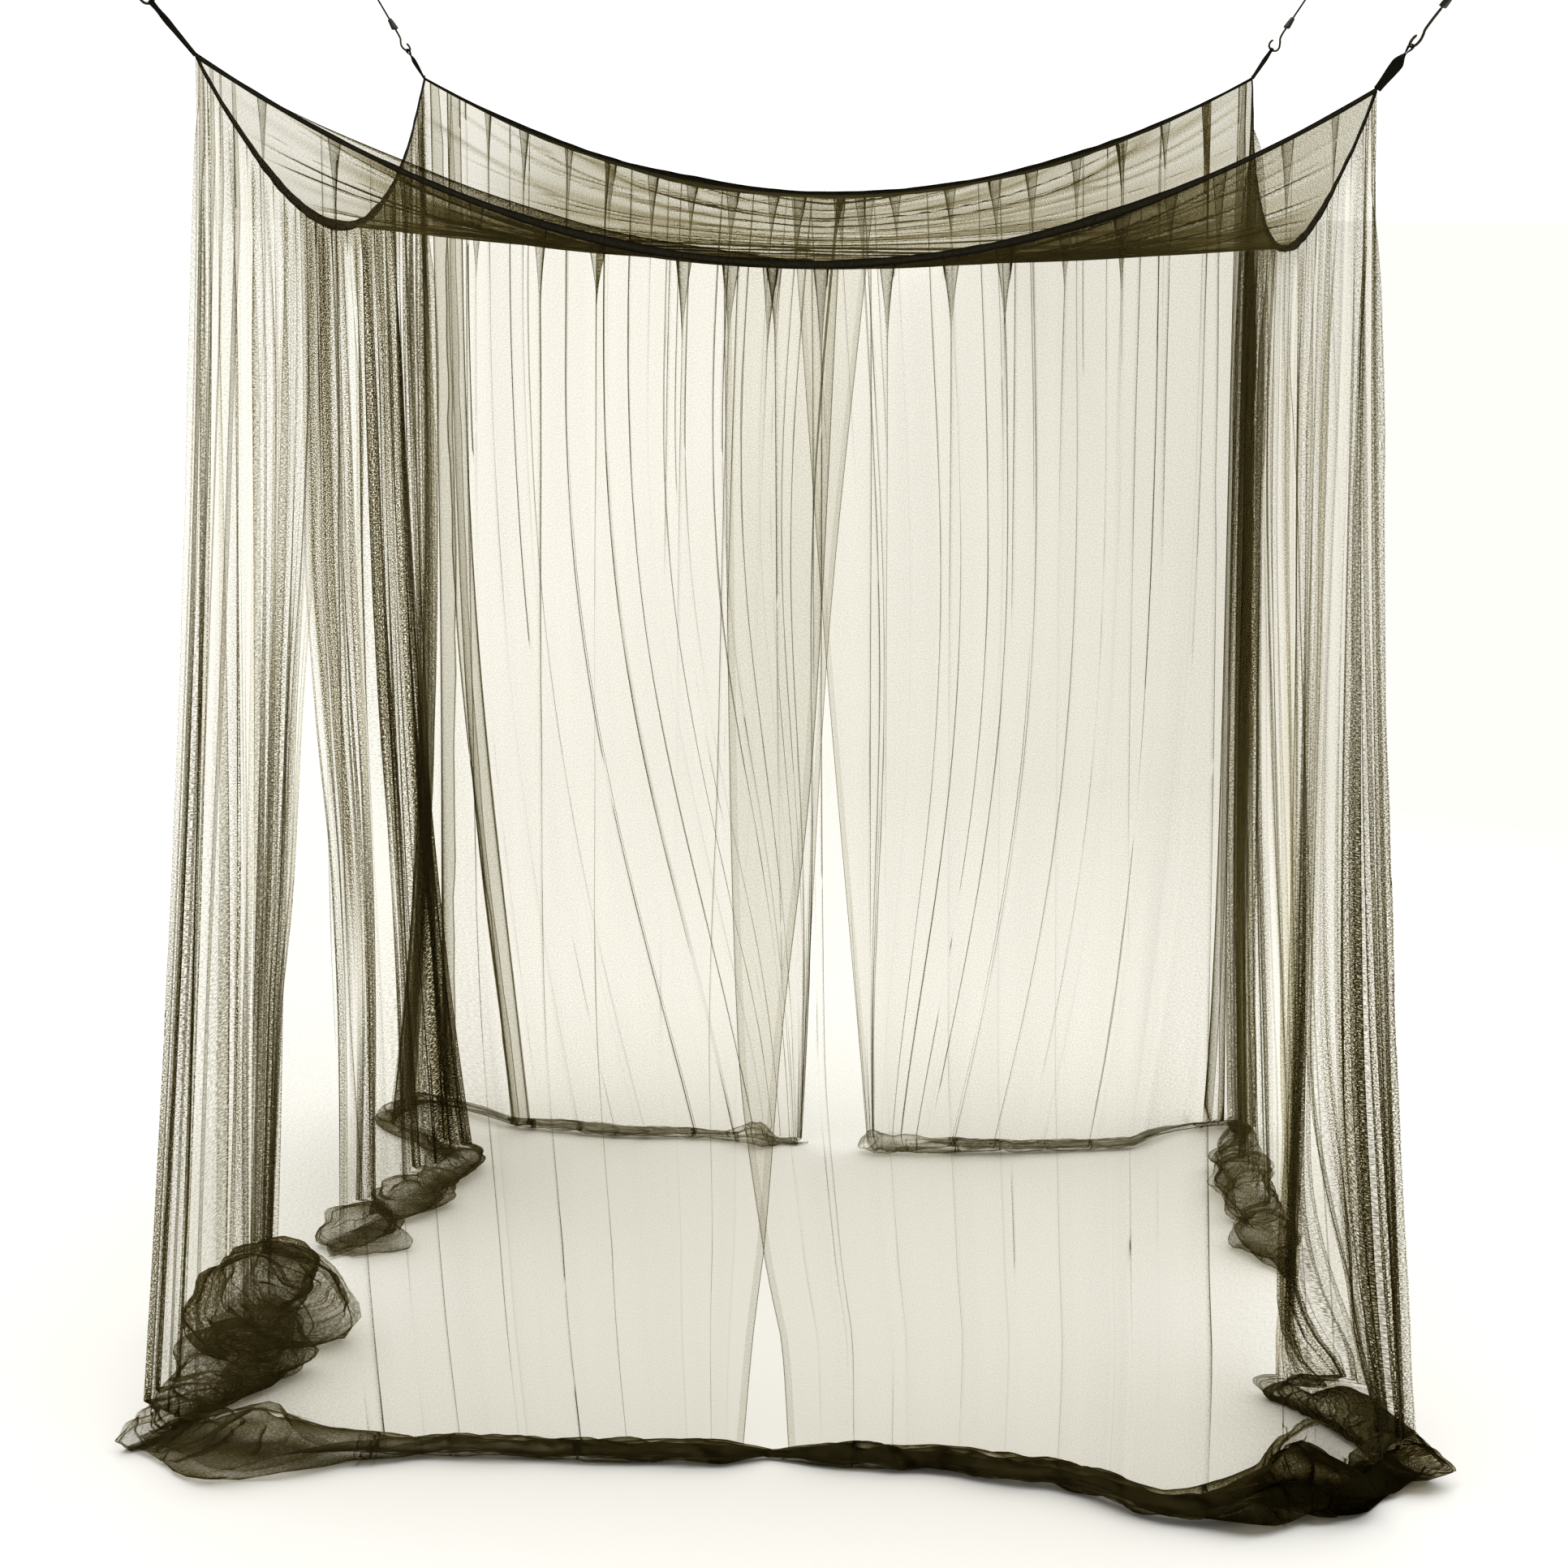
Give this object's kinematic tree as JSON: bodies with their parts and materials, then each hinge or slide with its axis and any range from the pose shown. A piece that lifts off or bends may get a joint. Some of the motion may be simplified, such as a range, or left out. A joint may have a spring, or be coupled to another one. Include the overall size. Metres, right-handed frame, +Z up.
{
  "type": "four-corner hanging mosquito net bed canopy with its corner hooks and cords",
  "caption": "Dark olive mosquito net bed canopy hung by its corner cords: sagging roof, pleated walls that part in the middle of each side, and a crumpled hem lying on the floor.",
  "frame": {"origin": "on the floor, under the middle of the footprint of the cloth", "axes": "+Z up, +X to the right of someone who faces the front wall from outside, +Y from the front wall to the back wall"},
  "size_m": [2.3257, 2.1984, 2.6269],
  "materials": {
    "net": "sheer knitted polyester net",
    "tape": "woven binding tape, stitched",
    "webbing": "woven narrow webbing",
    "wire": "plated wire, slightly dull",
    "cap": "moulded, satin",
    "cord": "braided round cord"
  },
  "bodies": {
    "root": {"roof_net": "net", "wall_front_left": "net", "wall_front_right": "net", "wall_back_right": "net", "wall_back_left": "net", "tape_front": "tape", "tape_right": "tape", "tape_back": "tape", "tape_left": "tape", "loop_front_left": "webbing", "loop_front_right": "webbing", "loop_back_right": "webbing", "loop_back_left": "webbing", "hook_front_left": "wire", "hook_front_right": "wire", "hook_back_right": "wire", "hook_back_left": "wire", "cap_front_left": "cap", "cap_front_right": "cap", "cap_back_right": "cap", "cap_back_left": "cap", "cord_front_left": "cord", "cord_front_right": "cord", "cord_back_right": "cord", "cord_back_left": "cord", "eye_front_left": "wire", "eye_front_right": "wire", "eye_back_right": "wire", "eye_back_left": "wire"}
  },
  "joints": []
}
